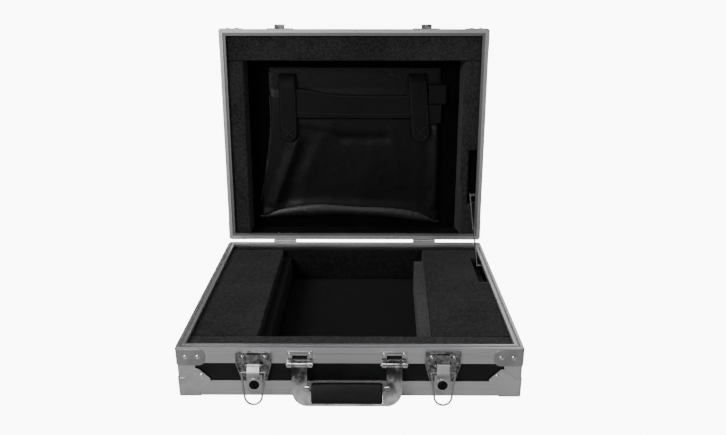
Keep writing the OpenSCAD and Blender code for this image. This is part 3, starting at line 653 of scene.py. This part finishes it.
class Pouch:
    """The leather pouch's outline and swell, in the lid's frame, up being away from the hinge."""

    # bottom edge above the pouch's lowest corner, left to right, and each side's inset from the
    # widest place, bottom to top
    hem_mm = (10.5, 11.5, 13, 16, 15.5, 13.5, 9, 3.8, 0)
    left_mm = (0, 2.5, 9, 16.5, 22, 24.5, 25.5)
    right_mm = (0, 0.5, 1, 1.5, 2.5, 3.5, 4.5)
    # thickness of the rolled bottom, left to right
    roll_mm = (5, 17, 23, 21, 19, 19, 21.5, 19, 6)
    # folds, and creases where the height is negative: height, one end, other end, half width
    folds_mm = ((4.0, (-103, 172), (-147, 56), 9), (-1.6, (-86, 160), (-122, 52), 14),
                (3.0, (146, 192), (145, 50), 6.5), (-1.2, (130, 190), (127, 60), 9),
                (1.1, (-96, 205), (-40, 196), 9), (1.0, (-60, 176), (-98, 96), 12),
                (-1.9, (-28, 176), (54, 176), 9), (0.9, (66, 192), (84, 92), 8),
                (1.3, (-160, 180), (-172, 70), 6))
    # heights between which the cloth thins out to its upper edge
    thin_from_mm, thin_to_mm = 250, 262
    # thickness between the folds, along the upper edge, and at the least
    body_mm, thin_mm, least_mm = 4.8, 1.8, 1.4
    # widths over which the sides and the foot are rounded off
    round_side_mm, round_foot_mm = 9, 7
    # the lid's low edge, from which heights are measured
    foot_mm = 3.2

    def __init__(self):
        self.low, self.high = local_box("pouch_body", LID)
        self.width = self.high.x - self.low.x
        self.height = self.high.y - self.low.y
        self.depth = self.high.z - self.low.z

    def left(self, y):
        return self.low.x + smooth_curve(self.left_mm, part_way(y, self.low.y, self.high.y)) * MM

    def right(self, y):
        return self.high.x - smooth_curve(self.right_mm, part_way(y, self.low.y, self.high.y)) * MM

    def hem(self, s):
        return self.low.y + smooth_curve(self.hem_mm, s) * MM

    def point(self, s, t):
        """Plan position of the cloth at s across and t up."""
        bottom = self.hem(s)
        y = bottom + (self.high.y - bottom) * t
        return Vector((self.left(y) + (self.right(y) - self.left(y)) * s, y))

    def at(self, across_mm, up_mm):
        """A place on the pouch, measured from the lid's middle and from its low edge."""
        return Vector((across_mm * MM, (up_mm + self.foot_mm) * MM))

    def swell(self, s, t):
        """Height of the front face above the back, with its folds and creases."""
        p = self.point(s, t)
        edge = min(s, 1 - s) * self.width
        foot = t * self.height
        round_off = min(1, edge / (self.round_side_mm * MM)) ** 0.5
        round_off *= min(1, (foot + 1.5 * MM) / (self.round_foot_mm * MM)) ** 0.5
        folds = 0
        for height, start, end, width in self.folds_mm:
            folds += height * ridge(p, self.at(*start), self.at(*end), width * MM)
        folds += 0.8 * noise.noise(Vector((p.x * 24, p.y * 11, 4.0)))
        folds += 0.3 * noise.noise(Vector((p.x * 80, p.y * 40, 9.0)))
        above_roll = foot - smooth_curve(self.roll_mm, s) * MM
        folds += 3.0 * math.exp(-(above_roll / (9 * MM)) ** 2)
        top = part_way(p.y, self.at(0, self.thin_from_mm).y, self.at(0, self.thin_to_mm).y)
        body = (self.body_mm + folds) * (1 - top) + self.thin_mm * top
        return min(max(body, self.least_mm), self.depth / MM - 0.2) * round_off * MM

    def front(self, s, t):
        p = self.point(s, t)
        return Vector((p.x, p.y, self.low.z + self.swell(s, t)))


def sheet_solid(across, up, top, under):
    """A closed skin between two height fields given as points over a grid."""
    shape = bmesh.new()

    def grid(face):
        return [[shape.verts.new(face(i / across, j / up)) for i in range(across + 1)]
                for j in range(up + 1)]

    upper, lower = grid(top), grid(under)
    for j in range(up):
        for i in range(across):
            a, b = upper[j], upper[j + 1]
            shape.faces.new((a[i], a[i + 1], b[i + 1], b[i]))
            a, b = lower[j], lower[j + 1]
            shape.faces.new((a[i], b[i], b[i + 1], a[i + 1]))
    rim = [(0, i) for i in range(across)] + [(j, across) for j in range(up)]
    rim += [(up, i) for i in range(across, 0, -1)] + [(j, 0) for j in range(up, 0, -1)]
    for (a, b), (c, d) in zip(rim, rim[1:] + rim[:1]):
        shape.faces.new((upper[a][b], upper[c][d], lower[c][d], lower[a][b]))
    return shape


def tube(points, radius, sides=12, flat=1.0):
    """A closed tube along points, its radius a function of 0 to 1, squashed in height by flat."""
    shape = bmesh.new()
    rings = []
    for i, p in enumerate(points):
        ahead = points[min(i + 1, len(points) - 1)] - points[max(i - 1, 0)]
        side = Vector((-ahead.y, ahead.x, 0)).normalized()
        up = ahead.cross(side).normalized()
        r = radius(i / (len(points) - 1))
        ring = []
        for k in range(sides):
            turn = 2 * math.pi * k / sides
            out = side * r * math.cos(turn)
            ring.append(shape.verts.new(p + out + up * r * flat * math.sin(turn)))
        rings.append(ring)
    close_rings(shape, rings)
    return shape


def thread_radius(t):
    """A stitch's radius from 0 to 1 along it, thin where it enters the leather."""
    return STITCH_RADIUS_MM * MM * (0.35 + 0.65 * math.sin(math.pi * (0.1 + 0.8 * t)))


def stitches(name, path, sewn):
    """A row of sewn stitches on the lid along a list of points, each a short rounded thread."""
    shape = bmesh.new()
    travelled = 0.0
    step = (STITCH_MM + STITCH_GAP_MM) * MM
    for a, b in zip(path, path[1:]):
        run = b - a
        while travelled < run.length:
            start = a + run.normalized() * travelled
            end = start + run.normalized() * STITCH_MM * MM
            arch = [start.lerp(end, t) + Vector((0, 0, math.sin(math.pi * t) * STITCH_ARCH_MM * MM))
                    for t in (0, 0.25, 0.5, 0.75, 1)]
            one = tube(arch, thread_radius, 6)
            mesh = bpy.data.meshes.new("stitch")
            one.to_mesh(mesh)
            one.free()
            shape.from_mesh(mesh)
            bpy.data.meshes.remove(mesh)
            travelled += step
        travelled -= run.length
    add_piece(name, shape, sewn, "lid", LID)


def make_pouch():
    """The pouch's shell with its rolled hem and piping, then what is sewn over it."""
    pouch = Pouch()
    hide = leather("pouch_leather", (0.0015, 0.0015, 0.0015), (0.0035, 0.0035, 0.004),
                   0.25, 420, 0.27)
    trim = leather("strap_leather", (0.006, 0.006, 0.007), (0.012, 0.012, 0.014), 0.40, 520)
    gloss = leather("hem_leather", (0.004, 0.004, 0.005), (0.010, 0.010, 0.013), 0.22, 600, 0.9)
    sewn = thread()

    def under(s, t):
        p = pouch.point(s, t)
        return Vector((p.x, p.y, pouch.low.z))

    shell = sheet_solid(120, 96, pouch.front, under)
    body = add_piece("pouch_shell", shell, hide, "lid", LID)
    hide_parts("pouch_body")
    make_hem(pouch, gloss)
    make_piping(pouch, gloss)
    make_band(trim, sewn)
    for side in ("left", "right"):
        make_strap(side, trim, sewn)


def make_hem(pouch, gloss):
    """The full, glossy roll along the bottom, gathered at its right end."""
    line = []
    for i in range(HEM_STEPS + 1):
        s = 0.006 + 0.988 * i / HEM_STEPS
        p = pouch.point(s, 0)
        thick = smooth_curve(pouch.roll_mm, s)
        line.append(Vector((p.x, p.y + thick * 0.5 * MM, pouch.low.z + 5.2 * MM)))

    def fat(t):
        gathers = max(0, t - 0.62) * 2.2 * (math.sin(t * 130) + 0.6 * math.sin(t * 211))
        radius_mm = 0.5 * smooth_curve(pouch.roll_mm, t) + 0.35 * math.sin(t * 23) + gathers * 0.5
        return radius_mm * MM

    add_piece("pouch_hem", tube(line, fat, 20, 0.52), gloss, "lid", LID)


def make_piping(pouch, gloss):
    """Piping down the left edge."""
    pipe = []
    for i in range(PIPING_STEPS + 1):
        t = i / PIPING_STEPS
        y = pouch.low.y + (40 + 195 * t) * MM
        bow = 4.5 * math.sin(math.pi * t)
        lift = 3.6 + 0.4 * math.sin(i * 0.4)
        pipe.append(Vector((pouch.left(y) + (2.5 + bow) * MM, y, pouch.low.z + lift * MM)))
    cord = tube(pipe, lambda t: 1.2 * MM, 10)
    add_piece("pouch_piping", cord, gloss, "lid", LID)


def make_band(trim, sewn):
    """The pocket's band: its top edge dips towards the right, where it ends in a stepped tab."""
    low, high = local_box("pouch_band", LID)
    tab = 32 * MM
    step = 9 * MM
    overlap = 1 * MM
    tall = 45.5 * MM
    behind_mm = 1
    end = high.x - tab
    foot = low.y + 8.5 * MM
    # how far the top edge is above its mean height, left to right
    rise_mm = (8, 6.5, -0.5, -3, -4, -4, -3.6, -3.4)

    def place(s, t):
        x = low.x + (end - low.x) * s
        lift = smooth_curve(rise_mm, s) * t * MM
        return x, foot + tall * t + lift

    def top(s, t):
        x, y = place(s, t)
        ends = min(1, min(s, 1 - s) * 60, min(t, 1 - t) * 14) ** 0.5
        ply = 0.7 * noise.noise(Vector((x * 30, y * 12, 2.0))) * MM
        return Vector((x, y, low.z + (0.9 + 1.3 * ends) * MM + ply))

    def under(s, t):
        x, y = place(s, t)
        return Vector((x, y, low.z - behind_mm * MM))

    sheet = sheet_solid(96, 18, top, under)
    band = add_piece("pocket_band", sheet, trim, "lid", LID)
    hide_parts("pouch_band")

    def step_piece(name, x0, x1, y0, y1, lift):
        def point(s, t, rise_mm):
            return Vector((x0 + (x1 - x0) * s, y0 + (y1 - y0) * t, low.z + rise_mm * MM))

        def face(s, t):
            ends = min(1, min(s, 1 - s) * 16, min(t, 1 - t) * 14) ** 0.5
            return point(s, t, lift + 1.2 * ends)

        def back(s, t):
            return point(s, t, -behind_mm)

        sheet = sheet_solid(16, 16, face, back)
        add_piece(name, sheet, trim, "lid", LID)

    step_piece("band_tab_upper", end - overlap, high.x, low.y + 33.3 * MM, high.y, 0.2)
    step_piece("band_tab_lower", end - overlap, high.x - step, low.y, low.y + 34 * MM, 0.8)
    for edge, at in (("low", 0.08), ("mid", 0.2), ("high", 0.93)):
        row = []
        for i in range(SEAM_STEPS + 1):
            x, y = place(0.01 + 0.98 * i / SEAM_STEPS, at)
            row.append(Vector((x, y, low.z + 2.35 * MM)))
        stitches(f"band_stitches_{edge}", row, sewn)
    corner = [Vector((high.x - x * MM, low.y + y * MM, low.z + 2.2 * MM))
              for x, y in ((31, 2.5), (11.5, 2.5), (11.5, 32))]
    stitches("tab_stitches", corner, sewn)


def strap_ends(node):
    """A strap's middle at its upper and lower end, its half width, and its box."""
    low, high = local_box(node, LID)
    back = LID.inverted()
    points = [back @ v.co for v in nodes[node].data.vertices]
    upper = [p.x for p in points if p.y > high.y - 1 * MM]
    half = (max(upper) - min(upper)) / 2
    at_top = (max(upper) + min(upper)) / 2
    at_low = low.x + half if at_top > (low.x + high.x) / 2 else high.x - half
    return at_top, at_low, half, low, high


def make_strap(side, trim, sewn):
    """A leather strap over the pouch, rounded below and sewn down with a cross."""
    node = f"pouch_strap_{side}"
    at_top, at_low, half, low, high = strap_ends(node)
    thick = 2.4 * MM
    behind = 0.8 * MM
    bend_long = 26 * MM
    bend_deep = 9.5 * MM

    def middle(y):
        return at_low + (at_top - at_low) * part_way(y, low.y + half, high.y)

    def base_height(y):
        """The strap leaves the band above it and comes down to the felt."""
        return low.z - bend_deep * part_way(y, high.y - bend_long, high.y) ** 2

    def outline(s, t):
        y = low.y + (high.y - low.y) * t
        reach = y - low.y
        wide = half
        if reach < half:
            wide = math.sqrt(max(half * half - (half - reach) ** 2, (0.12 * half) ** 2))
        return middle(y) + wide * (2 * s - 1), y

    def top(s, t):
        x, y = outline(s, t)
        rounded = min(1, min(s, 1 - s) * 10, (t + 0.004) * 40) ** 0.5
        ply = 0.35 * noise.noise(Vector((x * 60, y * 22, 7.0))) * MM
        return Vector((x, y, base_height(y) + thick * (0.45 + 0.55 * rounded) + ply))

    def under(s, t):
        x, y = outline(s, t)
        return Vector((x, y, base_height(y) - behind))

    sheet = sheet_solid(20, 72, top, under)
    strap = add_piece(f"strap_{side}", sheet, trim, "lid", LID)
    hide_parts(node)

    inset = 2.6 * MM
    lift = thick + 0.12 * MM
    bare = 30 * MM

    def on_strap(x, y):
        """A place on the strap's front, x from its middle and y from its lower end."""
        return Vector((middle(low.y + y) + x, low.y + y, base_height(low.y + y) + lift))

    round_end = half - inset
    arc = [on_strap(-round_end * math.cos(a), half - round_end * math.sin(a))
           for a in [math.pi * k / 14 for k in range(15)]]
    tall = high.y - low.y - bare
    path = [on_strap(-round_end, tall)] + arc + [on_strap(round_end, tall)]
    stitches(f"strap_stitches_{side}", path, sewn)
    box = 8.5 * MM
    centre = half + 1 * MM
    for k, slant in enumerate((1, -1)):
        row = [on_strap(-box, centre - slant * box), on_strap(box, centre + slant * box)]
        stitches(f"strap_cross_{side}_{k}", row, sewn)


# ---------------------------------------------------------------- grip

def make_grip():
    """A padded leather grip, a little fuller in its middle and drawn in at its ends."""
    low, high = local_box("handle_grip", HANDLE)
    hide = leather("grip_leather", (0.003, 0.003, 0.004), (0.008, 0.008, 0.010), 0.34, 500, 0.4)
    middle = (low + high) / 2
    half = (high - low) / 2
    shape = bmesh.new()
    rings = []
    for i in range(GRIP_ALONG + 1):
        t = 2 * i / GRIP_ALONG - 1
        near_end = max(abs(t) - GRIP_PINCH_FROM, 0) / (1 - GRIP_PINCH_FROM)
        crown = 1 - GRIP_CROWN + GRIP_CROWN * math.cos(t * math.pi / 2)
        crown *= 1 - near_end ** 2 * GRIP_PINCH
        ring = []
        for k in range(GRIP_AROUND):
            a = 2 * math.pi * k / GRIP_AROUND
            c, s = math.cos(a), math.sin(a)
            y = half.y * crown * math.copysign(abs(c) ** (2 / GRIP_SQUARE), c)
            z = half.z * crown * math.copysign(abs(s) ** (2 / GRIP_SQUARE), s)
            ring.append(shape.verts.new((middle.x + half.x * t, middle.y + y, middle.z + z)))
        rings.append(ring)
    close_rings(shape, rings)
    grip = add_piece("grip_body", shape, hide, "handle", HANDLE)
    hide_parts("handle_grip")


# ---------------------------------------------------------------- the whole scene

def finish_frame():
    """Each CAD node's material, and how far its edges are rounded, in millimetres."""
    base_rim = extrusion_metal("base_rim_metal", BASE, 0.86)
    # 0.38 darkens the lid rim's inner lip, a painted shade
    lid_rim = extrusion_metal("lid_rim_metal", LID, 0.84, 0.38)
    base_edge = extrusion_metal("base_edge_metal", BASE, 0.95)
    lid_edge = extrusion_metal("lid_edge_metal", LID, 0.95)
    braces = pressed_metal("brace_metal", 0.62, 0.30)
    caps = pressed_metal("cap_metal", 0.94, 0.34)
    rivets = pressed_metal("rivet_metal", 0.95, 0.20)
    # painted shade and reflections: the latch's deep dark patches stand in for the shade in its
    # tray and for dark reflections
    latch = pressed_metal("latch_metal_painted_shade", 0.46, 0.16, 2.0, 0.65, 190)
    chrome = pressed_metal("chrome", 0.90, 0.06, 0.3)
    lever = pressed_metal("lever_metal", 0.96, 0.34)
    # painted reflections: the chrome's deep dark patches stand in for reflections of the room
    frame_chrome = pressed_metal("handle_chrome_painted_reflection", 0.95, 0.03, 0.2, 0.55, 75)
    wire = pressed_metal("wire_metal", 0.50, 0.22)
    stay = pressed_metal("stay_metal", 0.30, 0.26)
    hinge = pressed_metal("hinge_metal", 0.60, 0.30)
    board = laminate()
    lock = pressed_metal("lock_black", 0.03, 0.30)
    by_ending = {"board": (board, 0.4), "corner_braces": (braces, 0.3), "corner_caps": (caps, 0.3),
                 "rivets": (rivets, 0)}
    special = {"base_rim_bars": (base_rim, 0.4), "lid_rim_bars": (lid_rim, 0.4),
               "base_edge_bars": (base_edge, 0.3), "lid_edge_bars": (lid_edge, 0.3),
               "base_corner_posts": (base_edge, 0.3), "lid_corner_posts": (lid_edge, 0.3),
               "latch_plates": (latch, 0.3), "latch_catches": (latch, 0.3),
               "latch_pins": (rivets, 0),
               "latch_lock_left": (lock, 0.3), "latch_lock_right": (lock, 0.3),
               "latch_lever_left": (lever, 0.4), "latch_lever_right": (lever, 0.4),
               "latch_bail_left": (wire, 0), "latch_bail_right": (wire, 0),
               "handle_frame": (frame_chrome, 0.5), "handle_brackets": (chrome, 0.3),
               "handle_pins": (rivets, 0),
               "hinge_base_leaves": (hinge, 0.3), "hinge_lid_leaves": (hinge, 0.3),
               "hinge_pins": (rivets, 0),
               "stay_base_bracket": (stay, 0.2), "stay_lid_bracket": (stay, 0.2),
               "stay_upper_link": (stay, 0.2), "stay_lower_link": (stay, 0.2)}
    for node in nodes:
        by_name = (look for ending, look in by_ending.items() if node.endswith(ending))
        look = special.get(node) or next(by_name, None)
        if look:
            finish_node(node, *look)


make_camera()
make_studio()
finish_frame()
make_foam()
make_lining()
make_pouch()
make_grip()
